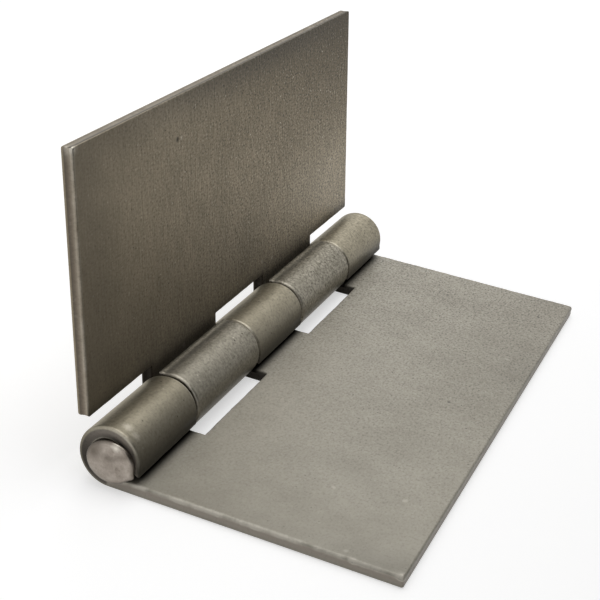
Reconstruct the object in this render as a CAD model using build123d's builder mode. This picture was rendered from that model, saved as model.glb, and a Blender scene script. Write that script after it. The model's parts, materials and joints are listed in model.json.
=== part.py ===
"""Flat weld-on hinge: two plain sheet-steel leaves with rolled knuckles, turning on a headed pin."""
import os
from math import asin, atan2, cos, degrees, radians, sin

from build123d import *

os.makedirs("parts", exist_ok=True)

# Overall sizes, in millimetres and degrees
hinge_length = 100.0
leaf_reach = 46.0
sheet = 2.0
pin_diameter = 6.0
rest_opening = 96.0

# Knuckles: the lying leaf carries the two ends and the middle, the standing leaf fills the slots between
end_knuckle = 18.0
middle_knuckle = 18.0
wide_gap = 0.6
narrow_gap = 0.2
bore_clearance = 0.05
curl_gap = 1.2

# Edges of the punched blank
lying_notch_depth = 6.6
standing_notch_depth = 5.8
notch_corner = 0.5
free_corner = 0.8
edge_rollover = 0.4
seam_break = 0.3

# Heads that the pin is upset into at both ends
head_diameter = 7.5
head_height = 1.25
head_rim = 0.45

# Worked out from the sizes above
half_length = hinge_length / 2
pin_radius = pin_diameter / 2
bore_radius = pin_radius + bore_clearance
barrel_radius = bore_radius + sheet
slot = (hinge_length - 2 * end_knuckle - middle_knuckle) / 2
tongue = slot - wide_gap - narrow_gap
leaf_shift = (wide_gap - narrow_gap) / 2
end_knuckle_middle = half_length - end_knuckle / 2
pin_axis = Vector(-leaf_reach / 2, 0, barrel_radius)

# The curl runs round from the back of the leaf until its outer corner is a gap short of the inner face
curl_end = degrees(asin((sheet + curl_gap - barrel_radius) / barrel_radius))
curl_sweep = curl_end - 270


def rolled_leaf(along, inward, middle, notch_depth, notches):
    """A leaf whose flat runs along one direction from the pin, with notches given as (centre, width) on Y."""
    foot = pin_axis - inward * barrel_radius + Vector(0, middle, 0)
    section_plane = Plane(origin=foot, x_dir=along, z_dir=along.cross(inward))
    back_plane = Plane(origin=foot, x_dir=along, z_dir=inward)
    y_sign = back_plane.y_dir.Y
    with BuildPart() as leaf:
        # Rolled section: flat sheet that curls over the pin, tangent to the back face
        with BuildSketch(section_plane):
            with BuildLine():
                back = Line((leaf_reach, 0), (0, 0))
                outside = CenterArc((0, barrel_radius), barrel_radius, -90, curl_sweep)
                inside = CenterArc((0, barrel_radius), bore_radius, -90, curl_sweep)
                Line(outside @ 1, inside @ 1)
                front = Line(inside @ 0, (leaf_reach, sheet))
                Line(front @ 1, back @ 0)
            make_face()
        extrude(amount=half_length, both=True)
        # Outline of the blank in plan: rounded free corners, notches that clear the other leaf's knuckles
        with BuildSketch(back_plane) as blank:
            with Locations((-barrel_radius, 0)):
                Rectangle(leaf_reach + barrel_radius, hinge_length, align=(Align.MIN, Align.CENTER))
            fillet(blank.vertices().group_by(Axis.X)[-1], free_corner)
            for centre, width in notches:
                with BuildSketch(mode=Mode.SUBTRACT) as notch:
                    with Locations((-barrel_radius, y_sign * (centre - middle))):
                        Rectangle(barrel_radius + notch_depth, width, align=(Align.MIN, Align.CENTER))
                    inner_corners = [
                        v for v in notch.vertices().group_by(Axis.X)[-1] if abs(v.Y) < half_length - free_corner
                    ]
                    fillet(inner_corners, notch_corner)
        extrude(amount=2 * barrel_radius, mode=Mode.INTERSECT)
        # Outer edges where knuckles meet, broken along with the notches that they lead into
        outer_arcs = leaf.edges().filter_by(GeomType.CIRCLE).group_by(SortBy.RADIUS)[-1]
        chamfer(outer_arcs.filter_by_position(Axis.Y, -end_knuckle_middle, end_knuckle_middle), seam_break)
        # Sheared outline rolled over on the back, from the free edge round to the ends of the barrel
        free_edges = leaf.edges().filter_by(Axis.Y).group_by(Axis(foot, along))[-1]
        fillet(free_edges.sort_by(Axis(foot, inward))[0], edge_rollover)
    return leaf


# Leaf with the two end knuckles and the middle one, lying on its back
slot_centre = (middle_knuckle + slot) / 2
three_knuckle_leaf = rolled_leaf(
    Vector(1, 0, 0), Vector(0, 0, 1), 0, lying_notch_depth, [(-slot_centre, slot), (slot_centre, slot)]
)
three_knuckle_leaf.part.label = "three_knuckle_leaf"
export_step(three_knuckle_leaf.part, "parts/three_knuckle_leaf.step")

# Leaf with the two knuckles between, standing a little past upright and pushed to one end of its play
turn = radians(rest_opening)
leaf_up = Vector(cos(turn), 0, sin(turn))
leaf_in = Vector(sin(turn), 0, -cos(turn))
tongue_end = slot_centre + tongue / 2
end_notch = half_length - tongue_end
end_centre = half_length - end_notch / 2
middle_notch = 2 * slot_centre - tongue
two_knuckle_leaf = rolled_leaf(
    leaf_up,
    leaf_in,
    leaf_shift,
    standing_notch_depth,
    [
        (leaf_shift - end_centre, end_notch),
        (leaf_shift, middle_notch),
        (leaf_shift + end_centre, end_notch),
    ],
)
two_knuckle_leaf.part.label = "two_knuckle_leaf"
export_step(two_knuckle_leaf.part, "parts/two_knuckle_leaf.step")

# Pin with a low domed head upset at each end, so that it can't slide out of the knuckles
rim_centre = head_diameter / 2 - head_rim
dome_rise = head_height - head_rim
dome_radius = (rim_centre**2 + dome_rise**2 - head_rim**2) / (2 * (head_height - 2 * head_rim))
dome_centre = half_length + head_height - dome_radius
rim_top = degrees(atan2(half_length + head_rim - dome_centre, rim_centre))
with BuildPart() as hinge_pin:
    with BuildSketch(Plane(origin=pin_axis, x_dir=(1, 0, 0), z_dir=(0, 0, 1))):
        with BuildLine():
            shank = Polyline((0, 0), (pin_radius, 0), (pin_radius, half_length), (rim_centre, half_length))
            rim = CenterArc((rim_centre, half_length + head_rim), head_rim, -90, 90 + rim_top)
            dome = CenterArc((0, dome_centre), dome_radius, rim_top, 90 - rim_top)
            Line(dome @ 1, shank @ 0)
        make_face()
    revolve(axis=Axis(pin_axis, (0, 1, 0)))
    mirror(about=Plane(origin=pin_axis, x_dir=(1, 0, 0), z_dir=(0, 1, 0)))
hinge_pin.part.label = "hinge_pin"
export_step(hinge_pin.part, "parts/hinge_pin.step")
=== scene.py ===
import json
import math
from types import SimpleNamespace

import bpy
import numpy as np
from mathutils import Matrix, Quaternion, Vector


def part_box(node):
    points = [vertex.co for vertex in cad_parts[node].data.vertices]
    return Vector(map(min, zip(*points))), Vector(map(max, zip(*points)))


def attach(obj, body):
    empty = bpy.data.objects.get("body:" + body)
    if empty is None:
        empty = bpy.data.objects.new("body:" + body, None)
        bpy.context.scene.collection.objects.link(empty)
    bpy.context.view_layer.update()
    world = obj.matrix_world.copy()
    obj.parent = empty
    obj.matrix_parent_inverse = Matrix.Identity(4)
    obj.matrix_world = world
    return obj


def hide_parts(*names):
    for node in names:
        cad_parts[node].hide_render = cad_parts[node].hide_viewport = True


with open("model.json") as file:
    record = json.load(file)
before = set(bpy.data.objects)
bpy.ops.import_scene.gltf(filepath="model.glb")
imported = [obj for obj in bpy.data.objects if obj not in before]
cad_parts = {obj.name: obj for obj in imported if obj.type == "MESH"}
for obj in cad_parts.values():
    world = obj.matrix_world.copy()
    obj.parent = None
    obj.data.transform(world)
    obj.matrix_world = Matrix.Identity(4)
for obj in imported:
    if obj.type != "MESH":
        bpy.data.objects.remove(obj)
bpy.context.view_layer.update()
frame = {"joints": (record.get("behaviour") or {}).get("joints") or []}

# The lying leaf: 2 mm mild-steel sheet, sheared to a blank with three tongues along one edge.
# Each tongue is rolled round the pin into a knuckle, and the curl stops a little short of the leaf's face.
# Every size below is in millimetres until a mesh is written.
mm = 0.001
pin_axis = np.array(frame["joints"][0]["pos_m"]) / mm
leaf_low, leaf_high = (np.array(corner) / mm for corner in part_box("three_knuckle_leaf"))
barrel_radius = pin_axis[2]
leaf_reach = leaf_high[0] - pin_axis[0]
half_length = (leaf_high[1] - leaf_low[1]) / 2
sheet = 2.0
end_knuckle = 18.0
middle_knuckle = 18.0
lying_notch_depth = 6.6
curl_gap = 1.2
middle_radius = barrel_radius - sheet / 2
curl_sweep = math.radians(270) - math.asin((sheet + curl_gap - barrel_radius) / barrel_radius)
tongue_line = leaf_reach + curl_sweep * middle_radius

# Sheared edges: how far the rounding reaches in from the outline, the corners in plan, and the torn hollow
back_rollover = 0.4
curl_end_rollover = 0.12
bore_rollover, bore_fade = 0.1, 3.0
rollover_waver = 0.22
free_corner = 0.4
tongue_corner = 0.35
notch_corner = 0.5
tear_depth, tear_waver = 0.05, 0.5

# The lip that a curl ends in, flared outwards, and a line of painted shade just before it
lip_rise, lip_start, lip_crest, lip_waver = 0.28, 1.0, 0.25, 0.1
groove_place, groove_width, groove_soot = 1.2, 0.28, 0.5

# Bare metal on edges that rub. Patches give the level, swing and most by which it comes and goes,
# and a share is where on the sheet's thickness it starts and is full, counted from the back
wear_width = 0.3
# The end rims' wear is a painted highlight on their upper right; the lip's wear also paints its highlight
seam_wear, end_wear, lip_wear = 0.5, 0.35, 0.15
corner_wear, corner_wear_width = 2.0, 1.0
front_patches, rim_patches, free_edge_patches = (0.7, 0.6, 1.5), (0.8, 0.4, 1.2), (0.8, 0.4, 1.0)
free_edge_fade = 0.7
worn_share = 0.7, 1.0

# Painted black shade: in the crevice, down the curls' sides, on notch walls and round the pin at the ends
crevice_start, crevice_fade = 4.2, 2.5
beside_width = 1.5
notch_soot_width = 1.5
side_soot_near, side_soot_far = 4.2, 2.0
wall_soot, wall_soot_width = 0.85, 0.3
# End faces darker all round; painted shade on their lower left and the head's painted shadow up to the right
ring_soot = 0.36
ring_shade, ring_shade_place, ring_shade_width = 0.45, 5.0, 5.0
ring_dirt, ring_dirt_place, ring_dirt_width = 0.65, 17.0, 6.0
ring_dirt_share, edge_soot_share = (0.4, 0.8), (0.45, 0.8)
end_margin, notch_margin = 0.5, 0.02

# Mesh spacing: lines crowd towards a sheared edge and are even elsewhere
edge_lines = np.array([0, 0.03, 0.07, 0.12, 0.18, 0.25, 0.33, 0.42, 0.53, 0.66, 0.8, 1.05, 1.4])
edge_zone = edge_lines[-1]
plate_spacing = 0.9
curl_spacing = 0.3
shear_rows = 7


def grid_lines(start, stop, spacing, crowd_start=True, crowd_stop=True):
    """Lines from start to stop: each crowded end takes edge_lines, the rest is evenly divided."""
    first = start + edge_lines if crowd_start else np.array([start])
    last = stop - edge_lines[::-1] if crowd_stop else np.array([stop])
    count = math.ceil((last[0] - first[-1]) / spacing) + 1
    return np.concatenate([first, np.linspace(first[-1], last[0], count)[1:-1], last])


def waver(position, seed):
    """A hand-cut waver along an edge, about -1 to 1: five sines with wavelengths from 1.7 to 29 mm."""
    lengths = np.array([1.7, 3.1, 5.9, 13.0, 29.0])
    weights = np.array([0.5, 0.7, 0.8, 0.6, 0.5])
    swing = 1.6
    phases = np.random.default_rng(seed).uniform(0, 2 * np.pi, len(lengths))
    waves = np.sin(2 * np.pi * np.asarray(position)[..., None] / lengths + phases)
    return waves @ weights / weights.sum() * swing


def bell(distance, width):
    """A bell curve, 1 at no distance and about a third at the width."""
    return np.exp(-((distance / width) ** 2))


def ramp(value, start, stop):
    """A straight ramp from 0 at start to 1 at stop, level outside them."""
    return np.clip((value - start) / (stop - start), 0, 1)


def patchy(wave, level, swing, most):
    """A strength that comes and goes: the level plus the swing times a wave, held between 0 and most."""
    return np.clip(level + swing * wave, 0, most)


def rolled_edge(inset, radius):
    """Drop of a face at a distance inset from the outline: a quarter circle of that radius."""
    depth = np.clip(radius - inset, 0, radius)
    return radius - np.sqrt(radius**2 - depth**2)


def blank_grid(shift, notch_depth, tongues):
    """The flat blank as a grid of reach (from the free edge) by across (along the pin).
    Across, it is cut into bands that are tongues or not, and its rows run to the notches, the pin and the
    tongues' ends. Each place also gets its distance in from the outline (inset), from the leaf's two ends
    (from_end), in from the sides and end of its own tongue (in_tongue), past the side of the nearest tongue
    (beside) and from the nearest notch (to_notch)."""
    grid = SimpleNamespace(shift=shift, low=shift - half_length, high=shift + half_length)
    grid.notch_line = leaf_reach - notch_depth
    cuts = sorted({grid.low, grid.high, *(end for tongue in tongues for end in tongue)})
    grid.bands = [
        (start, stop, any(first <= (start + stop) / 2 <= last for first, last in tongues))
        for start, stop in zip(cuts[:-1], cuts[1:])
    ]
    columns = [grid_lines(start, stop, plate_spacing) for start, stop, _ in grid.bands]
    rows = [
        grid_lines(0, grid.notch_line, plate_spacing),
        grid_lines(grid.notch_line, leaf_reach, plate_spacing, crowd_stop=False),
        grid_lines(leaf_reach, tongue_line, curl_spacing, crowd_start=False),
    ]
    grid.across_lines, grid.reach_lines = (
        np.concatenate([lines[0], *(later[1:] for later in lines[1:])]) for lines in (columns, rows)
    )
    grid.first_columns = np.cumsum([0, *(len(lines) - 1 for lines in columns)])
    grid.notch_row, grid.last_row = len(rows[0]) - 1, len(grid.reach_lines) - 1
    grid.reach, grid.across = np.meshgrid(grid.reach_lines, grid.across_lines, indexing="ij")

    grid.in_tongue, grid.beside, grid.to_notch = (np.full_like(grid.reach, np.inf) for _ in range(3))
    for start, stop, is_tongue in grid.bands:
        from_start, from_stop = grid.across - start, stop - grid.across
        outside = np.maximum(0, np.maximum(-from_start, -from_stop))
        if is_tongue:
            inside = np.minimum(np.minimum(from_start, from_stop), tongue_line - grid.reach)
            grid.in_tongue = np.where(outside == 0, inside, grid.in_tongue)
            grid.beside = np.minimum(grid.beside, outside)
        else:
            grid.to_notch = np.minimum(grid.to_notch, np.hypot(grid.notch_line - grid.reach, outside))
    grid.from_end = np.minimum(grid.across - grid.low, grid.high - grid.across)
    on_plate = np.minimum(np.minimum(grid.from_end, grid.reach), grid.to_notch)
    grid.inset = np.where(grid.reach > grid.notch_line, grid.in_tongue, on_plate)
    return grid


def dress_blank(grid, finish):
    """Adds depth, wear with painted highlights, and painted shade and soot on front and back, to the grid.
    Both faces drop in a quarter circle at the outline. The front's radius wavers, grows at nicks and is
    less in the bore. The last millimetre of a curl flares outwards in a smooth step: three times the
    square of the way along it, less twice the cube. Wear, highlights and shade are bell curves of the
    distance from an edge or a place."""
    reach, across, inset = grid.reach, grid.across, grid.inset
    past_pin, to_end = reach - leaf_reach, tongue_line - reach
    on_tongue, on_curl = reach > grid.notch_line, reach > leaf_reach
    at_end = np.abs(across - grid.shift) > half_length - edge_zone
    uneven = waver(reach + across, finish.seed)

    # Rounding of the edges, with the front's wear along them
    front_radius = finish.front_rollover * (1 + rollover_waver * uneven)
    front_radius = front_radius + (bore_rollover - front_radius) * ramp(past_pin, 0, bore_fade)
    edge_rub = finish.edge_wear * bell(inset, wear_width)
    near_rub = finish.near_wear * bell(across - grid.low, wear_width)
    front_wear = np.maximum(edge_rub, near_rub) * patchy(uneven, *front_patches)
    for nick_reach, nick_across, width, extra in finish.nicks:
        nick = bell(np.hypot(reach - nick_reach, across - nick_across), width)
        front_radius = front_radius + extra * nick
        front_wear = front_wear + nick
    back_radius = curl_end_rollover + (back_rollover - curl_end_rollover) * ramp(to_end, 0, edge_zone)

    # The lip, bare and with a painted highlight, wear at the seams, and a painted highlight on the end rims
    climb = ramp(to_end, lip_start, lip_crest)
    lip_swing = 1 - lip_waver + lip_waver * waver(across, finish.seed + 1)
    lip = lip_rise * climb**2 * (3 - 2 * climb) * lip_swing
    rim = np.where(at_end, end_wear * bell(past_pin - ring_dirt_place, ring_dirt_width), seam_wear)
    rim = rim * patchy(waver(reach + across, finish.seed + 3), *rim_patches)
    back_wear = np.where(on_curl, np.maximum(rim * bell(inset, wear_width), lip_wear * climb), 0)

    # Painted shade in the crevice beside the curl's end and along the notches, and on the notch walls
    crevice = finish.crevice_soot * bell(np.maximum(-past_pin - crevice_start, 0), finish.crevice_width)
    crevice = crevice * (1 - ramp(grid.beside, 0, beside_width)) * ramp(grid.from_end, 0, crevice_fade)
    notch_edge = np.where(on_tongue, 0, finish.notch_soot * bell(grid.to_notch, notch_soot_width))
    in_notch = on_tongue & (past_pin < sheet) & ~at_end
    wall = np.where(in_notch, wall_soot * bell(grid.in_tongue, wall_soot_width), 0)
    front_soot = np.maximum(np.maximum(crevice, notch_edge), wall)

    # Painted shade down the curl's side, in a line before its lip and on the barrel's end rims
    side_width = np.interp(across, [-half_length, half_length], [side_soot_near, side_soot_far])
    curl_side = finish.side_soot * bell(reach - finish.side_place, side_width)
    curl_side = np.maximum(curl_side, groove_soot * bell(to_end - groove_place, groove_width))
    end_rim = ring_shade * bell(past_pin - ring_shade_place, ring_shade_width) * bell(inset, back_rollover)
    back_soot = np.maximum(np.where(on_curl, curl_side, 0), wall)
    back_soot = np.maximum(back_soot, np.where(on_curl & at_end, end_rim, 0))

    # Wide faint smears on the front, dark or bare; some are painted shade and painted light
    for smear_reach, smear_across, reach_spread, across_spread, black, bare in finish.smears:
        smear = bell(reach - smear_reach, reach_spread) * bell(across - smear_across, across_spread)
        front_soot = front_soot + black * smear * (1 - front_soot)
        front_wear = front_wear + bare * smear

    front_depth = sheet - rolled_edge(inset, front_radius) - lip
    back_depth = rolled_edge(inset, back_radius) - lip
    grid.front = SimpleNamespace(depth=front_depth, wear=front_wear, soot=front_soot)
    grid.back = SimpleNamespace(depth=back_depth, wear=back_wear, soot=back_soot)


def outline_walk(grid):
    """Rows and columns of the outline as one closed walk over the grid: along the free edge, then back
    band by band, out to a tongue's end or in to a notch, and down the near end."""
    rows, columns = [np.zeros(len(grid.across_lines), int)], [np.arange(len(grid.across_lines))]
    row = 0
    for index in reversed(range(len(grid.bands))):
        first, last = grid.first_columns[index : index + 2]
        target = grid.last_row if grid.bands[index][2] else grid.notch_row
        side = np.arange(row, target, 1 if target > row else -1)
        end = np.arange(last, first, -1)
        rows += [side, np.full(len(end), target)]
        columns += [np.full(len(side), last), end]
        row = target
    near_end = np.arange(row, 0, -1)
    rows = np.concatenate([*rows, near_end])
    columns = np.concatenate([*columns, np.zeros(len(near_end), int)])
    fresh = np.ones(len(rows), bool)
    fresh[1:] = (np.diff(rows) != 0) | (np.diff(columns) != 0)
    return rows[fresh], columns[fresh]


def round_corner(grid, corner, into, radius):
    """Bends the square block at a corner of the grid onto a quarter disc.
    A point p from the disc's centre moves to p times its larger coordinate over its length."""
    hair = 1e-9
    far = radius - (grid.reach - corner[0]) * into[0]
    side = radius - (grid.across - corner[1]) * into[1]
    inside = (far > 0) & (side > 0) & (far <= radius + hair) & (side <= radius + hair)
    far, side = np.where(inside, far, 1), np.where(inside, side, 1)
    scale = np.maximum(far, side) / np.hypot(far, side)
    grid.reach = np.where(inside, corner[0] + (radius - far * scale) * into[0], grid.reach)
    grid.across = np.where(inside, corner[1] + (radius - side * scale) * into[1], grid.across)


def round_notch(grid, walk, wall_across, into):
    """Slides outline points near a notch's inner corner onto an arc in the notch.
    The distance from the corner, along the notch's bottom or up its wall, becomes an angle on the arc."""
    rows, columns = walk
    up = grid.reach_lines[rows] - grid.notch_line
    out = (grid.across_lines[columns] - wall_across) * into
    on_bottom = (rows == grid.notch_row) & (out >= 0) & (out <= notch_corner)
    on_wall = (rows > grid.notch_row) & (out == 0) & (up <= notch_corner)
    for chosen, place in ((on_bottom, -out), (on_wall, up)):
        turn = np.pi / 4 * (1 + place[chosen] / notch_corner)
        at = rows[chosen], columns[chosen]
        grid.reach[at] = grid.notch_line + notch_corner * (1 - np.cos(turn))
        grid.across[at] = wall_across + into * notch_corner * (1 - np.sin(turn))


def round_outline(grid, walk):
    """Rounds the free corners, the tongues' ends, the plate's ends beside outer notches, and the notches."""
    round_corner(grid, (0, grid.low), (1, 1), free_corner)
    round_corner(grid, (0, grid.high), (1, -1), free_corner)
    for start, stop, is_tongue in grid.bands:
        end_line = tongue_line if is_tongue else grid.notch_line
        for side, into in ((start, 1), (stop, -1)):
            if is_tongue or side in (grid.low, grid.high):
                round_corner(grid, (end_line, side), (-1, into), tongue_corner)
    for start, stop, is_tongue in grid.bands:
        for side, into in ((start, 1), (stop, -1)):
            if not is_tongue and side not in (grid.low, grid.high):
                round_notch(grid, walk, side, into)


def sheared_strip(grid, finish, walk):
    """The sheared edge, as rows of points along the outline from the back's edge to the front's.
    It is hollowed where the metal tore, by a squared sine through the thickness that wavers along it."""
    edge_reach, edge_across = grid.reach[walk], grid.across[walk]
    step_reach, step_across = (np.roll(edge, -1) - np.roll(edge, 1) for edge in (edge_reach, edge_across))
    step = np.hypot(step_reach, step_across)
    travelled = np.cumsum(step) / 2
    share = (np.arange(1, shear_rows + 1) / (shear_rows + 1))[:, None]
    torn = -tear_depth * np.sin(np.pi * share) ** 2 * (1 + tear_waver * waver(travelled, finish.seed + 2))
    strip_reach = edge_reach - torn * step_across / step
    strip_across = edge_across + torn * step_reach / step
    back_depth, front_depth = grid.back.depth[walk], grid.front.depth[walk]

    # Bare metal towards the front and along the free edge, which fades from its near corner
    on_free_edge = walk[0] == 0
    fading = 1 - free_edge_fade * (edge_across - grid.low) / (grid.high - grid.low)
    edge_rub = on_free_edge * fading * patchy(waver(travelled, finish.seed + 4), *free_edge_patches)
    corner_rub = corner_wear * bell(np.hypot(edge_reach, edge_across - grid.low), corner_wear_width)
    bare = finish.free_edge_wear * np.maximum(edge_rub, corner_rub) * np.sin(np.pi * share)
    wear = np.maximum(grid.front.wear[walk] * ramp(share, *worn_share), bare)

    # Painted shade on notch walls and round the pins, darker barrel ends, and a free edge darker at its
    # front
    at_end = np.abs(strip_across - grid.shift) > half_length - end_margin
    in_notch = (strip_reach > grid.notch_line - notch_margin) & (strip_reach < leaf_reach + sheet) & ~at_end
    at_front = on_free_edge * finish.edge_soot * ramp(share, *edge_soot_share)
    past_pin = edge_reach - leaf_reach
    shade = ring_shade * bell(past_pin - ring_shade_place, ring_shade_width)
    dirt = ring_dirt * bell(past_pin - ring_dirt_place, ring_dirt_width) * ramp(share, *ring_dirt_share)
    round_pin = at_end & (strip_reach > leaf_reach)
    soot = np.where(round_pin, ring_soot + shade + dirt, np.maximum(wall_soot * in_notch, at_front))
    return SimpleNamespace(
        reach=strip_reach,
        across=strip_across,
        depth=back_depth + (front_depth - back_depth) * share,
        wear=wear,
        soot=soot,
    )


def leaf_faces(grid, walk):
    """Four-cornered faces over the kept cells of back and front, and round the strip that joins them.
    Points are numbered with the back's first, then the front's, then the strip's, row by row."""
    width, size = len(grid.across_lines), grid.reach.size
    row, column = np.meshgrid(np.arange(grid.last_row), np.arange(width - 1), indexing="ij")
    in_tongue = np.repeat([is_tongue for *_, is_tongue in grid.bands], np.diff(grid.first_columns))
    kept = (row < grid.notch_row) | in_tongue[column]
    row, column = row[kept], column[kept]
    corners = (row, column), (row, column + 1), (row + 1, column + 1), (row + 1, column)
    back = np.stack([r * width + c for r, c in corners], 1)
    front = back[:, ::-1] + size
    edge = walk[0] * width + walk[1]
    between = 2 * size + np.arange(shear_rows * len(edge)).reshape(shear_rows, len(edge))
    levels = np.vstack([edge, between, edge + size])
    ahead = np.roll(levels, -1, axis=1)
    strip = np.stack([levels[:-1], levels[1:], ahead[1:], ahead[:-1]], -1).reshape(-1, 4)
    return np.vstack([back, front, strip])


def leaf_mesh(name, along, inward, shift, notch_depth, tongues, finish):
    """A rolled leaf as one closed surface over its flat blank: back, front and the sheared strip between.
    Past the pin the reach turns into an angle: a point at depth n lies at barrel_radius - n from the axis,
    turned by its reach past the pin over the radius of the sheet's middle."""
    grid = blank_grid(shift, notch_depth, tongues)
    dress_blank(grid, finish)
    walk = outline_walk(grid)
    round_outline(grid, walk)
    strip = sheared_strip(grid, finish, walk)
    faces = leaf_faces(grid, walk)
    if np.cross(inward, along)[1] > 0:
        faces = faces[:, ::-1]
    used, faces = np.unique(faces, return_inverse=True)

    no_shear = np.zeros_like(grid.reach)
    reach, across, depth, wear, soot, shear = (
        np.concatenate([values.ravel() for values in layers])[used]
        for layers in (
            (grid.reach, grid.reach, strip.reach),
            (grid.across, grid.across, strip.across),
            (grid.back.depth, grid.front.depth, strip.depth),
            (grid.back.wear, grid.front.wear, strip.wear),
            (grid.back.soot, grid.front.soot, strip.soot),
            (no_shear, no_shear, np.ones_like(strip.depth)),
        )
    )
    angle = -np.pi / 2 - np.maximum(reach - leaf_reach, 0) / middle_radius
    on_curl = reach > leaf_reach
    from_axis = barrel_radius - depth
    run = np.where(on_curl, from_axis * np.cos(angle), leaf_reach - reach)
    rise = np.where(on_curl, from_axis * np.sin(angle), -from_axis)
    points = pin_axis + run[:, None] * along + rise[:, None] * inward
    points[:, 1] = across

    # Each point keeps its place on the blank, wear and painted highlight, painted shade and soot, and if
    # sheared
    mesh = bpy.data.meshes.new(name)
    mesh.from_pydata(points * mm, [], faces.reshape(-1, 4).tolist())
    blank = np.stack([reach, across, depth], 1)
    stored = mesh.attributes.new("blank", "FLOAT_VECTOR", "POINT")
    stored.data.foreach_set("vector", blank.astype(np.float32).ravel())
    for label, values in (("wear", wear), ("soot", soot), ("shear", shear)):
        stored = mesh.attributes.new(label, "FLOAT", "POINT")
        stored.data.foreach_set("value", values.astype(np.float32))
    mesh.shade_smooth()
    mesh.validate()
    leaf = bpy.data.objects.new(name, mesh)
    bpy.context.scene.collection.objects.link(leaf)
    return leaf


# A nick is its reach, across, radius and extra rounding. A smear is its reach, across and spread both ways,
# and how dark and how bare it is. Some smears are painted shade and painted light, as noted at each list
lying_finish = SimpleNamespace(
    seed=3,
    front_rollover=0.4,
    nicks=[(7.7, -half_length, 0.5, 0.2), (0.5, -half_length, 0.8, 0.2)],
    edge_wear=0.2,
    near_wear=1.2,
    free_edge_wear=0,
    crevice_soot=1,
    crevice_width=1.2,
    notch_soot=0,
    side_soot=0.85,
    side_place=tongue_line,
    edge_soot=0,
    smears=[
        # The barer smear beside the barrel paints light into its shade; the others darken the near end and
        # free edge
        (2, 25, 20, 30, 0.05, 0), (20, -50, 40, 3.5, 0.06, 0), (34, -18, 9, 26, 0, 0.3),
        (2, -50, 8, 5, 0.2, 0), (1, 16, 5, 9, 0.1, 0),
    ],
)
lying_leaf = leaf_mesh(
    "lying_leaf_sheet",
    along=np.array([1.0, 0, 0]),
    inward=np.array([0, 0, 1.0]),
    shift=0,
    notch_depth=lying_notch_depth,
    tongues=[
        (-half_length, end_knuckle - half_length),
        (-middle_knuckle / 2, middle_knuckle / 2),
        (half_length - end_knuckle, half_length),
    ],
    finish=lying_finish,
)


def linear(code):
    """A colour written as sRGB hex, as the linear RGBA that shaders take."""
    srgb = np.array([int(code[i : i + 2], 16) for i in (1, 3, 5)]) / 255
    low, high = srgb / 12.92, ((srgb + 0.055) / 1.055) ** 2.4
    return (*np.where(srgb <= 0.04045, low, high), 1.0)


def add(tree, kind, inputs, take=None, **settings):
    """Adds a shader node and gives back one output, by name or else the first that is in use.
    settings are the node's own properties. inputs has a value, or a socket to link from, for each of the
    node's sockets that it names or numbers."""
    made = tree.nodes.new("ShaderNode" + kind)
    for key, value in settings.items():
        setattr(made, key, value)
    for key, value in inputs.items():
        if isinstance(value, bpy.types.NodeSocket):
            tree.links.new(value, made.inputs[key])
        else:
            made.inputs[key].default_value = value
    return made.outputs[take] if take else next((output for output in made.outputs if output.enabled), None)


# Tones both leaves share: a pit, bare metal, black painted shade and soot, and the warm sheen at a low angle
pit_tone, bare_tone, soot_tone = "#3A352D", "#CBC5B8", "#100D0A"
sheen_tone = "#FAF7F0"

# Real sizes of the patterns and how strongly each shows. The sandy grain is about 0.2 mm on the real steel,
# so it and its specks are drawn coarser to show. The step sets the two leaves' patterns apart
pattern_step = np.array([37.0, 11.0, 5.0])
noise_middle = 0.5
cloud_size, cloud_swing, cloud_level = 9.0, 0.9, 0.05
grain_size, grain_squeeze, grain_swing = 0.6, 0.7, 1.5
streak_width, streak_length = 0.4, 4.0
speck_size = 0.5

# Specks: the noise at which they start and are full, and their most. Pits and flecks: their spacing, radius,
# the share of places that hold one, and a shift that sets them apart. Both fade from a core to their edge
dark_specks, light_specks = (0.54, 0.7, 0.45), (0.38, 0.28, 0.18)
pit_spots, fleck_spots = (3.4, 0.17, 0.26, 0.0), (4.6, 0.18, 0.34, 71.0)
spot_core = 0.4
mark_core, mark_edge = -0.2, 0.5

# How the knuckles and the back differ from the flat, where the bend comes in, and where the stain starts
bend_start, bend_stop = -1.0, 3.0
curl_grain, curl_streaks, curl_specks, curl_metal = 0.65, 0.2, 0.65, 1.0
back_grain = 0.5
stain_start, stain_reach = -0.4, 0.6
shear_waver = 0.12

# Rubbed metal, gloss and relief
rub_swing, rub_level, fleck_rub = 1.6, 0.2, 0.4
specular = 0.5
leaf_roughness, rub_polish, grain_roughness = 0.4, 0.12, 0.16
grain_relief, pit_sink = 0.018, 1.5


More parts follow.
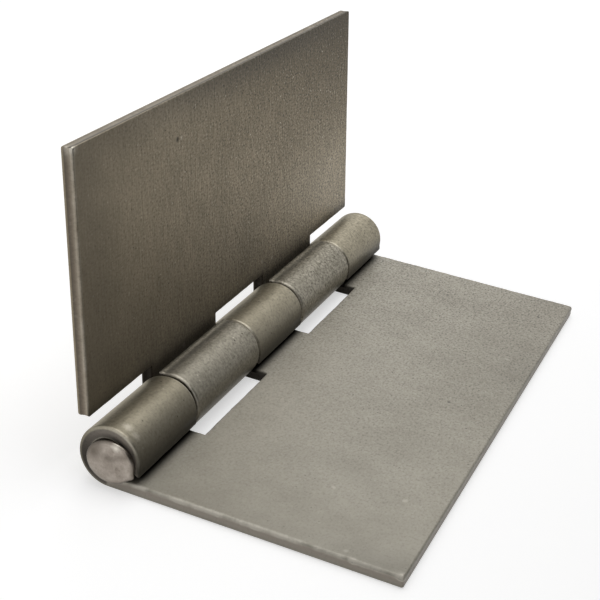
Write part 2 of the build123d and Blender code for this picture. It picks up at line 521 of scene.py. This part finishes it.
def rolled_steel(name, flat, curl, stain, stain_amount, metal, streaks, gain, shear_tones, marks, seed):
    """Pickled hot-rolled mild steel: a dull satin grey with a sandy grain, short rolling streaks, specks,
    pits and bare flecks. The knuckles are barer than the flat, sheared edges show a burnished band beside
    torn metal, and edges that rub are bright. flat and curl are pairs of a dark and a light tone, stain is
    the tone that the far free corner takes, gain is the grain's strength at the near and the far end, and a
    mark is its reach, across and depth on the blank, its radius, and 1 for bare or 0 for a pit."""
    material = bpy.data.materials.new(name)
    material.use_nodes = True
    tree = material.node_tree
    shader = tree.nodes["Principled BSDF"]
    blank = add(tree, "Attribute", {}, take="Vector", attribute_name="blank")
    wear, soot, shear = (
        add(tree, "Attribute", {}, take="Fac", attribute_name=label) for label in ("wear", "soot", "shear")
    )
    parts = add(tree, "SeparateXYZ", {0: blank}).node.outputs
    reach, across, depth = parts["X"], parts["Y"], parts["Z"]
    moved = add(tree, "VectorMath", {0: blank, 1: pattern_step * seed})

    # Clouds, the sandy grain, a little finer along the reach than across it, and streaks along the reach
    cloud = add(
        tree, "TexNoise", {"Vector": moved, "Scale": 1 / cloud_size, "Detail": 3.0, "Roughness": 0.6}
    )
    squeezed = add(tree, "VectorMath", {0: moved, 1: (1 / grain_squeeze, 1, 1)}, operation="MULTIPLY")
    grain = add(
        tree, "TexNoise", {"Vector": squeezed, "Scale": 1 / grain_size, "Detail": 2.0, "Roughness": 0.7}
    )
    per_streak = 1 / streak_length, 1 / streak_width, 1
    drawn_out = add(tree, "VectorMath", {0: moved, 1: per_streak}, operation="MULTIPLY")
    streak = add(tree, "TexNoise", {"Vector": drawn_out, "Scale": 1.0, "Detail": 3.0, "Roughness": 0.6})
    on_curl = add(tree, "MapRange", {0: reach, 1: leaf_reach + bend_start, 2: leaf_reach + bend_stop})

    # The grain is stronger towards the far end, weaker on the back, and has a least strength on the curls
    strength = add(tree, "MapRange", {0: across, 1: -half_length, 2: half_length, 3: gain[0], 4: gain[1]})
    to_front = add(tree, "MapRange", {0: depth, 2: sheet, 3: back_grain})
    to_front = add(tree, "Math", {0: to_front, 1: on_curl}, operation="MAXIMUM")
    strength = add(tree, "Math", {0: strength, 1: to_front}, operation="MULTIPLY")
    least = add(tree, "Math", {0: on_curl, 1: curl_grain}, operation="MULTIPLY")
    strength = add(tree, "Math", {0: strength, 1: least}, operation="MAXIMUM")
    streaked = add(tree, "MapRange", {0: on_curl, 3: streaks, 4: curl_streaks * streaks})
    streak = add(tree, "Math", {0: streak, 1: noise_middle}, operation="SUBTRACT")
    sandy = add(
        tree, "Math", {0: grain, 1: grain_swing, 2: -grain_swing * noise_middle}, operation="MULTIPLY_ADD"
    )
    sandy = add(tree, "Math", {0: streak, 1: streaked, 2: sandy}, operation="MULTIPLY_ADD")
    tone = add(tree, "Math", {0: cloud, 1: cloud_swing, 2: cloud_level}, operation="MULTIPLY_ADD")
    tone = add(tree, "Math", {0: sandy, 1: strength, 2: tone}, operation="MULTIPLY_ADD")

    # The flat, the stain towards its far free corner, and the knuckles from where the bend starts
    flat_shade, curl_shade = (
        add(tree, "Mix", {0: tone, 6: linear(dark), 7: linear(light)}, data_type="RGBA")
        for dark, light in (flat, curl)
    )
    stained = add(
        tree, "MapRange", {0: across, 1: stain_start * half_length, 2: half_length, 4: stain_amount}
    )
    towards_edge = add(tree, "MapRange", {0: reach, 1: stain_reach * leaf_reach, 2: 0.0})
    stained = add(tree, "Math", {0: stained, 1: towards_edge}, operation="MULTIPLY")
    colour = add(tree, "Mix", {0: stained, 6: flat_shade, 7: linear(stain)}, data_type="RGBA")
    colour = add(tree, "Mix", {0: on_curl, 6: colour, 7: curl_shade}, data_type="RGBA")

    # Sheared edges, through the thickness: rolled-over back, torn middle, burnished band, front corner
    level = add(
        tree, "Math", {0: depth, 1: 1 / sheet, 2: -shear_waver * noise_middle}, operation="MULTIPLY_ADD"
    )
    level = add(tree, "Math", {0: cloud, 1: shear_waver, 2: level}, operation="MULTIPLY_ADD")
    sheared = add(tree, "ValToRGB", {0: level})
    bands = sheared.node.color_ramp.elements
    for position, code in shear_tones[1:-1]:
        bands.new(position).color = linear(code)
    for band, (position, code) in zip((bands[0], bands[-1]), (shear_tones[0], shear_tones[-1])):
        band.position, band.color = position, linear(code)
    colour = add(tree, "Mix", {0: shear, 6: colour, 7: sheared}, data_type="RGBA")

    # Specks, dark where a noise runs high and light where it runs low, stronger with the grain
    speck = add(tree, "TexNoise", {"Vector": squeezed, "Scale": 1 / speck_size, "Detail": 1.0})
    specked = add(tree, "MapRange", {0: on_curl, 3: 1.0, 4: curl_specks})
    specked = add(tree, "Math", {0: strength, 1: specked}, operation="MULTIPLY")
    for (start, full, most), code in ((dark_specks, pit_tone), (light_specks, bare_tone)):
        amount = add(tree, "MapRange", {0: speck, 1: start, 2: full, 4: most})
        amount = add(tree, "Math", {0: amount, 1: specked}, operation="MULTIPLY")
        colour = add(tree, "Mix", {0: amount, 6: colour, 7: linear(code)}, data_type="RGBA")

    # Pits and bare flecks, one in each of a share of the cells of a loose net, and then the single marks
    spots = []
    for cell, radius, share, shift in (pit_spots, fleck_spots):
        centred = add(tree, "VectorMath", {0: moved, 1: (shift, shift, 0)})
        spot = add(tree, "TexVoronoi", {"Vector": centred, "Scale": 1 / cell}, voronoi_dimensions="2D")
        chosen = add(tree, "Math", {0: spot.node.outputs["Color"], 1: share}, operation="LESS_THAN")
        chosen = add(tree, "Math", {0: chosen, 1: strength}, operation="MULTIPLY")
        size = add(
            tree, "MapRange", {0: spot, 1: spot_core * radius / cell, 2: radius / cell, 3: 1.0, 4: 0.0}
        )
        spots.append(add(tree, "Math", {0: size, 1: chosen}, operation="MULTIPLY"))
    for *centre, radius, kind in marks:
        apart = add(tree, "VectorMath", {0: blank, 1: centre}, take="Value", operation="DISTANCE")
        ragged = add(tree, "Math", {0: grain, 1: -radius, 2: apart}, operation="MULTIPLY_ADD")
        size = add(
            tree, "MapRange", {0: ragged, 1: mark_core * radius, 2: mark_edge * radius, 3: 1.0, 4: 0.0}
        )
        spots[kind] = add(tree, "Math", {0: spots[kind], 1: size}, operation="MAXIMUM")
    pit, fleck = spots

    # Wear and painted highlights break up with the grain; painted shade and soot cover all and kill the
    # shine
    rubbed = add(tree, "Math", {0: grain, 1: rub_swing, 2: rub_level}, operation="MULTIPLY_ADD")
    rubbed = add(tree, "Math", {0: rubbed, 1: wear}, operation="MULTIPLY")
    rubbed = add(tree, "Math", {0: fleck, 1: fleck_rub, 2: rubbed}, operation="MULTIPLY_ADD")
    for amount, code in ((pit, pit_tone), (rubbed, bare_tone), (soot, soot_tone)):
        colour = add(tree, "Mix", {0: amount, 6: colour, 7: linear(code)}, data_type="RGBA")
    tree.links.new(colour, shader.inputs["Base Color"])
    bareness = add(tree, "MapRange", {0: on_curl, 3: metal, 4: curl_metal})
    clean = add(tree, "Math", {0: 1.0, 1: soot}, operation="SUBTRACT")
    for amount, socket in ((bareness, "Metallic"), (specular, "Specular IOR Level")):
        dulled = add(tree, "Math", {0: clean, 1: amount}, operation="MULTIPLY")
        tree.links.new(dulled, shader.inputs[socket])
    shader.inputs["Specular Tint"].default_value = linear(sheen_tone)
    gloss = add(tree, "Math", {0: rubbed, 1: -rub_polish, 2: leaf_roughness}, operation="MULTIPLY_ADD")
    gloss = add(tree, "Math", {0: grain, 1: grain_roughness, 2: gloss}, operation="MULTIPLY_ADD")
    tree.links.new(gloss, shader.inputs["Roughness"])
    height = add(tree, "Math", {0: sandy, 1: strength}, operation="MULTIPLY")
    height = add(tree, "Math", {0: pit, 1: -pit_sink, 2: height}, operation="MULTIPLY_ADD")
    bump = add(tree, "Bump", {"Height": height, "Strength": 1.0, "Distance": grain_relief * mm})
    tree.links.new(bump, shader.inputs["Normal"])
    return material


lying_steel = rolled_steel(
    "pickled_steel_lying_leaf",
    # The flat is lighter than the knuckles: a dustier pickled face, and in part painted light from overhead
    flat=("#878275", "#B2ADA0"),
    curl=("#7C7666", "#A59E8C"),
    stain="#7A7163",
    stain_amount=0.25,
    metal=0.2,
    streaks=0.1,
    gain=(0.25, 1.65),
    shear_tones=[(0.05, "#7A7267"), (0.3, "#A1998E"), (0.7, "#A69C91"), (0.95, "#B3AA9D")],
    marks=[
        (6.2, -32.5, sheet, 0.6, 1), (16.5, -35.0, sheet, 0.5, 1), (9.1, -48.6, sheet, 0.5, 1),
        (22.7, 40.0, sheet, 0.35, 0), (4.7, 41.0, sheet, 0.35, 0), (9.5, -0.7, sheet, 0.35, 0),
        (5.1, 20.2, sheet, 0.5, 1), (60.2, -48.0, 0, 0.9, 1), (61.6, -48.2, 0, 0.8, 1),
    ],
    seed=1,
)
lying_leaf.data.materials.append(lying_steel)
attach(lying_leaf, "lying_leaf")
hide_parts("three_knuckle_leaf")

# The standing leaf: the same sheet with two tongues, rolled to fill the slots of the lying leaf.
# It stands a little past upright, turns on the pin, and sits at one end of its play along it.
opening = math.radians(96)
standing_notch_depth = 5.8
wide_gap, narrow_gap = 0.6, 0.2
leaf_shift = (wide_gap - narrow_gap) / 2
slot = (2 * half_length - 2 * end_knuckle - middle_knuckle) / 2
slot_centre = (middle_knuckle + slot) / 2
tongue_width = slot - wide_gap - narrow_gap
side_soot_round = 9.2
standing_finish = SimpleNamespace(
    seed=8,
    front_rollover=0.14,
    nicks=[(0, leaf_shift - half_length, 0.8, 0.15)],
    edge_wear=0.04,
    near_wear=0.3,
    free_edge_wear=0.22,
    crevice_soot=0.5,
    crevice_width=3.4,
    notch_soot=0.6,
    side_soot=0.5,
    side_place=leaf_reach + side_soot_round,
    edge_soot=0.75,
    smears=[
        # The first smear paints shade on the low, near part; the others darken patches, and the last one is
        # barer
        (36, -30, 12, 40, 0.25, 0), (36, 0, 6, 12, 0.15, 0), (0, 10, 3.5, 50, 0.43, 0),
        (0, 62, 16, 50, 0.25, 0), (24, -54, 40, 12, 0.25, 0), (33, 40, 10, 18, 0, 0.12),
    ],
)
standing_leaf = leaf_mesh(
    "standing_leaf_sheet",
    along=np.array([math.cos(opening), 0, math.sin(opening)]),
    inward=np.array([math.sin(opening), 0, -math.cos(opening)]),
    shift=leaf_shift,
    notch_depth=standing_notch_depth,
    tongues=[
        (centre + leaf_shift - tongue_width / 2, centre + leaf_shift + tongue_width / 2)
        for centre in (-slot_centre, slot_centre)
    ],
    finish=standing_finish,
)
standing_steel = rolled_steel(
    "pickled_steel_standing_leaf",
    # The flat is darker than the lying leaf's: browner steel, and in part painted shade on a face that
    # stands up
    flat=("#6D6555", "#988D7A"),
    curl=("#757165", "#9F9A8E"),
    stain="#453921",
    stain_amount=0.85,
    metal=1.0,
    streaks=1.3,
    gain=(0.45, 2.8),
    shear_tones=[(0.1, "#413B35"), (0.3, "#5A534A"), (0.5, "#6B6257"), (0.8, "#8D8476"), (1.0, "#7E756A")],
    marks=[
        (6.7, -20.9, sheet, 0.6, 0), (6.75, -19.6, sheet, 0.4, 1), (42.2, 10.6, sheet, 0.6, 1),
        (37.6, 9.4, sheet, 0.5, 1), (38.4, 13.7, sheet, 0.5, 1), (41.7, -9.6, sheet, 0.5, 1),
        (41.2, -20.8, sheet, 0.5, 1), (42.5, -3.1, sheet, 0.5, 1),
    ],
    seed=2,
)
standing_leaf.data.materials.append(standing_steel)
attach(standing_leaf, "standing_leaf")
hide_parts("two_knuckle_leaf")

# The hinge pin: a length of 6 mm round steel bar through all the knuckles. Each end was upset cold
# into a low head wider than the bore. The blow left it oval, a little off the axis, dented and bright.
pin_low, pin_high = (np.array(corner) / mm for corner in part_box("hinge_pin"))
head_radius = (pin_high[0] - pin_low[0]) / 2
head_height = pin_high[1] - half_length
head_rim = 0.45
shank_radius, neck_radius = 3.0, 2.3
head_oval = 1.04, 0.915
head_offset = 0.51, -0.24
lobe_angle, lobe_width, lobe_rise, lobe_edge = math.radians(-25), 0.18, 0.4, 8
turn_steps, dome_steps, rim_steps, shank_steps = 128, 40, 16, 40

# Dents in a head: across and upward from the axis, radius and height
dents = [(0.4, 0.5, 0.8, -0.14), (1.9, 1.35, 0.6, -0.08), (-2.0, 0.9, 1.2, -0.12), (2.2, 2.4, 0.8, -0.1)]
dent_fade = 0.3


def pin_mesh(name):
    """A profile of radius and distance along the axis, turned round the axis.
    From the middle of a head the profile follows a dome and a rim a quarter round or more, draws in to a
    neck and goes on as the shank, and the other half is its mirror image. Heads are stretched to an oval,
    shifted off the axis and given a lobe, and the domes sink by a sum of bell-shaped dents."""
    rim_centre = head_radius - head_rim
    dome_rise = head_height - head_rim
    dome_radius = (rim_centre**2 + dome_rise**2 - head_rim**2) / (2 * (head_height - 2 * head_rim))
    dome_centre = head_height - dome_radius
    rim_top = math.atan2(head_rim - dome_centre, rim_centre)
    dome = np.linspace(np.pi / 2, rim_top, dome_steps)
    rim = np.linspace(rim_top, -np.pi / 2, rim_steps)[1:]
    head = np.concatenate([dome_radius * np.cos(dome), rim_centre + head_rim * np.cos(rim), [neck_radius]])
    head_axial = half_length + np.concatenate(
        [dome_centre + dome_radius * np.sin(dome), head_rim + head_rim * np.sin(rim), [0.0]]
    )
    shank_axial = np.linspace(half_length, -half_length, shank_steps)[1:-1]
    shank = np.full(len(shank_axial), shank_radius)
    radius, axial, on_head = (
        np.concatenate(stretches)[1:-1, None]
        for stretches in (
            (head, shank, head[::-1]),
            (-head_axial, -shank_axial, head_axial[::-1]),
            (np.ones_like(head), np.zeros_like(shank), np.ones_like(head)),
        )
    )
    angle = np.linspace(-np.pi, np.pi, turn_steps, endpoint=False)
    lobe = lobe_rise * bell(angle - lobe_angle, lobe_width)
    outward = radius + on_head * lobe * (radius / head_radius) ** lobe_edge
    across, upward = (
        outward * turned * (1 + on_head * (stretch - 1)) + on_head * offset
        for turned, stretch, offset in zip((np.cos(angle), np.sin(angle)), head_oval, head_offset)
    )
    across, upward, along, profile = (
        np.concatenate([[near], np.broadcast_to(values, outward.shape).ravel(), [far]])
        for near, values, far in (
            (head_offset[0], across, head_offset[0]),
            (head_offset[1], upward, head_offset[1]),
            (-head_axial[0], axial, head_axial[0]),
            (head[0], radius, head[0]),
        )
    )
    sunk = sum(deep * bell(np.hypot(across - x, upward - z), size) for x, z, size, deep in dents)
    rim_level = half_length + head_rim
    along = along + np.sign(along) * sunk * ramp(np.abs(along), rim_level, rim_level + dent_fade)
    points = pin_axis + np.stack([across, along, upward], 1)
    rows = 1 + np.arange(outward.size).reshape(outward.shape)
    ahead = np.roll(rows, -1, axis=1)
    sides = np.stack([rows[:-1], rows[1:], ahead[1:], ahead[:-1]], -1).reshape(-1, 4)
    near_tip = np.stack([np.zeros_like(rows[0]), rows[0], ahead[0]], 1)
    far_tip = np.stack([np.full_like(rows[0], len(points) - 1), ahead[-1], rows[-1]], 1)
    mesh = bpy.data.meshes.new(name)
    mesh.from_pydata(points * mm, [], [*sides.tolist(), *near_tip.tolist(), *far_tip.tolist()])
    stored = mesh.attributes.new("turned", "FLOAT", "POINT")
    stored.data.foreach_set("value", profile.astype(np.float32))
    mesh.shade_smooth()
    made = bpy.data.objects.new(name, mesh)
    bpy.context.scene.collection.objects.link(made)
    return made


# Tones of the head, and its marks: painted shade on the upper left and along a crease, and a painted
# highlight.
# A mark is across and upward from the axis, radius, how strong and which tone
grime_tone, struck_tone, rim_tone = "#4A4238", "#E4DED2", "#3B352D"
head_marks = [
    (-2.1, 1.0, 1.8, 0.7, grime_tone), (-1.4, 2.6, 1.4, 0.45, grime_tone), (0.2, 0.6, 1.0, 0.5, grime_tone),
    (0.9, 0.6, 0.8, 0.4, grime_tone), (1.6, 0.9, 0.8, 0.4, grime_tone), (2.3, 1.3, 0.8, 0.4, grime_tone),
    (3.2, 1.6, 0.9, 0.5, grime_tone), (1.6, 2.7, 1.0, 0.8, struck_tone),
]
head_mark_core, head_mark_edge = -0.4, 0.5
# Painted shade that darkens the head towards its rim
rim_grime, rim_grime_start, rim_grime_full = 0.5, 0.5, 0.1

# Real sizes of the head's patterns, and how strongly they show
blotch_size, blotch_swing, blotch_level = 1.5, 1.8, -0.55
pin_grain_size, pin_grain_swing, pin_relief = 0.3, 0.5, 0.02
tool_ring, tool_ring_height = 0.35, 0.15
pin_roughness, blotch_roughness = 0.22, 0.3


def upset_steel(name):
    """Mild steel bar squeezed cold: a warm satin grey, blotched over 1.5 mm, with faint rings left by the
    tool, 0.35 mm apart, painted shade up to the left, along a crease and at the rim, and a painted
    highlight."""
    material = bpy.data.materials.new(name)
    material.use_nodes = True
    tree = material.node_tree
    shader = tree.nodes["Principled BSDF"]
    place = add(tree, "TexCoord", {}, take="Object")
    place = add(tree, "VectorMath", {0: place, "Scale": 1 / mm}, operation="SCALE")
    place = add(tree, "VectorMath", {0: place, 1: pin_axis}, operation="SUBTRACT")
    flat_place = add(tree, "VectorMath", {0: place, 1: (1, 0, 1)}, operation="MULTIPLY")
    turned = add(tree, "Attribute", {}, take="Fac", attribute_name="turned")
    blotch = add(
        tree, "TexNoise", {"Vector": place, "Scale": 1 / blotch_size, "Detail": 4.0, "Roughness": 0.6}
    )
    grain = add(tree, "TexNoise", {"Vector": place, "Scale": 1 / pin_grain_size, "Detail": 2.0})
    tone = add(tree, "Math", {0: blotch, 1: blotch_swing, 2: blotch_level}, operation="MULTIPLY_ADD")
    tone = add(tree, "Math", {0: grain, 1: pin_grain_swing, 2: tone}, operation="MULTIPLY_ADD")
    colour = add(tree, "Mix", {0: tone, 6: linear("#746B61"), 7: linear("#ACA399")}, data_type="RGBA")
    for x, z, radius, amount, code in head_marks:
        apart = add(tree, "VectorMath", {0: flat_place, 1: (x, 0, z)}, take="Value", operation="DISTANCE")
        ragged = add(tree, "Math", {0: blotch, 1: -radius, 2: apart}, operation="MULTIPLY_ADD")
        core, edge = head_mark_core * radius, head_mark_edge * radius
        size = add(tree, "MapRange", {0: ragged, 1: core, 2: edge, 3: amount, 4: 0.0})
        colour = add(tree, "Mix", {0: size, 6: colour, 7: linear(code)}, data_type="RGBA")
    grime_start, grime_full = head_radius - rim_grime_start, head_radius - rim_grime_full
    grime = add(tree, "MapRange", {0: turned, 1: grime_start, 2: grime_full, 4: rim_grime})
    colour = add(tree, "Mix", {0: grime, 6: colour, 7: linear(rim_tone)}, data_type="RGBA")
    tree.links.new(colour, shader.inputs["Base Color"])
    shader.inputs["Metallic"].default_value = 1.0
    gloss = add(tree, "Math", {0: blotch, 1: blotch_roughness, 2: pin_roughness}, operation="MULTIPLY_ADD")
    tree.links.new(gloss, shader.inputs["Roughness"])
    rings = add(tree, "Math", {0: turned, 1: 2 * np.pi / tool_ring}, operation="MULTIPLY")
    rings = add(tree, "Math", {0: rings}, operation="SINE")
    height = add(tree, "Math", {0: rings, 1: tool_ring_height, 2: grain}, operation="MULTIPLY_ADD")
    bump = add(tree, "Bump", {"Height": height, "Strength": 1.0, "Distance": pin_relief * mm})
    tree.links.new(bump, shader.inputs["Normal"])
    return material


pin = pin_mesh("upset_pin")
pin.data.materials.append(upset_steel("upset_steel_pin"))
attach(pin, "lying_leaf")
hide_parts("hinge_pin")

# The floor: a plain pale sheet under the hinge that keeps its shadow.
# It looks white to the camera and in reflections, and is duller as a source of bounced light.
floor_size = 3000
floor_drop = 0.02
floor_glow = 0.55
floor_mesh = bpy.data.meshes.new("floor")
floor_corners = np.array([(-1, -1, 0), (1, -1, 0), (1, 1, 0), (-1, 1, 0)]) * floor_size / 2
floor_mesh.from_pydata((floor_corners - np.array([0, 0, floor_drop])) * mm, [], [(0, 1, 2, 3)])
floor = bpy.data.objects.new("floor", floor_mesh)
bpy.context.scene.collection.objects.link(floor)
floor_material = bpy.data.materials.new("pale_floor")
floor_material.use_nodes = True
floor_tree = floor_material.node_tree
floor_tree.nodes.clear()
path = add(floor_tree, "LightPath", {}).node.outputs
seen = add(floor_tree, "Math", {0: path["Is Camera Ray"], 1: path["Is Glossy Ray"]}, operation="MAXIMUM")
seen = add(floor_tree, "Math", {0: seen, 1: path["Is Transmission Ray"]}, operation="MAXIMUM")
dull = add(floor_tree, "BsdfDiffuse", {"Color": linear("#B0B0AE")})
pale = add(floor_tree, "BsdfDiffuse", {"Color": linear("#D2D2D2")})
glow = add(floor_tree, "Emission", {"Color": linear("#FFFFFF"), "Strength": floor_glow})
white = add(floor_tree, "AddShader", {0: pale, 1: glow})
both = add(floor_tree, "MixShader", {0: seen, 1: dull, 2: white})
add(floor_tree, "OutputMaterial", {"Surface": both})
floor_mesh.materials.append(floor_material)

# A dark card to the right of the hinge, as studios set one up to deepen the shaded sides of metal.
# It stands outside the picture and never shows to the camera itself.
card_x = 110
card_near, card_far = -260, 110
card_height = 240
card_mesh = bpy.data.meshes.new("dark_card")
card_outline = [(card_near, 0), (card_far, 0), (card_far, card_height), (card_near, card_height)]
card_mesh.from_pydata(np.array([(card_x, y, z) for y, z in card_outline]) * mm, [], [(0, 1, 2, 3)])
card = bpy.data.objects.new("dark_card", card_mesh)
bpy.context.scene.collection.objects.link(card)
card_material = bpy.data.materials.new("dark_card")
card_material.use_nodes = True
card_tree = card_material.node_tree
card_tree.nodes.clear()
path = add(card_tree, "LightPath", {}).node.outputs
black = add(card_tree, "BsdfDiffuse", {"Color": linear("#202020")})
clear = add(card_tree, "BsdfTransparent", {})
both = add(card_tree, "MixShader", {0: path["Is Camera Ray"], 1: black, 2: clear})
add(card_tree, "OutputMaterial", {"Surface": both})
card_mesh.materials.append(card_material)

# Studio light: a broad soft panel overhead, one behind that glances off the metal, a weak one beside the
# camera, and a dim pale surround. The surround looks white to the camera and in reflections.
surround = 0.3
world = bpy.data.worlds.new("studio")
bpy.context.scene.world = world
world.use_nodes = True
sky = world.node_tree
path = add(sky, "LightPath", {}).node.outputs
seen = add(sky, "Math", {0: path["Is Camera Ray"], 1: path["Is Glossy Ray"]}, operation="MAXIMUM")
seen = add(sky, "Math", {0: seen, 1: path["Is Transmission Ray"]}, operation="MAXIMUM")
brightness = add(sky, "MapRange", {"Value": seen, "To Min": surround, "To Max": 1.0})
backdrop = sky.nodes["Background"]
backdrop.inputs["Color"].default_value = linear("#FFFFFF")
sky.links.new(brightness, backdrop.inputs["Strength"])


def soft_panel(name, place, target, size, power):
    """A square area lamp at a place, turned to face a target, both in millimetres."""
    lamp = bpy.data.lights.new(name, "AREA")
    lamp.size = size * mm
    lamp.energy = power
    panel = bpy.data.objects.new(name, lamp)
    panel.location = Vector(place) * mm
    panel.rotation_mode = "QUATERNION"
    panel.rotation_quaternion = (Vector(target) - Vector(place)).to_track_quat("-Z", "Y")
    bpy.context.scene.collection.objects.link(panel)


soft_panel("overhead_panel", place=(60, 60, 700), target=(0, 0, 0), size=700, power=3.0)
soft_panel("back_panel", place=(-195, 490, 490), target=(0, 0, 10), size=450, power=0.5)
soft_panel("front_panel", place=(150, -700, 250), target=(0, 0, 20), size=500, power=0.5)

# The camera: where the photograph was taken from, past the hinge's near end, to the right and above.
# It is turned by the picture's slight roll, and the lens is that of a small telephoto.
camera_data = bpy.data.cameras.new("camera")
camera_data.sensor_width = 36.0
camera_data.lens = 81.16
camera_data.clip_start = 10 * mm
camera = bpy.data.objects.new("camera", camera_data)
eye = Vector((58.24, -195.69, 112.4))
aim = Vector((-13.51, -4.75, 14.95))
camera_roll = math.radians(6.53)
camera.location = eye * mm
camera.rotation_mode = "QUATERNION"
camera.rotation_quaternion = (aim - eye).to_track_quat("-Z", "Y") @ Quaternion((0, 0, 1), camera_roll)
bpy.context.scene.collection.objects.link(camera)
bpy.context.scene.camera = camera
bpy.context.scene.view_settings.view_transform = "Standard"
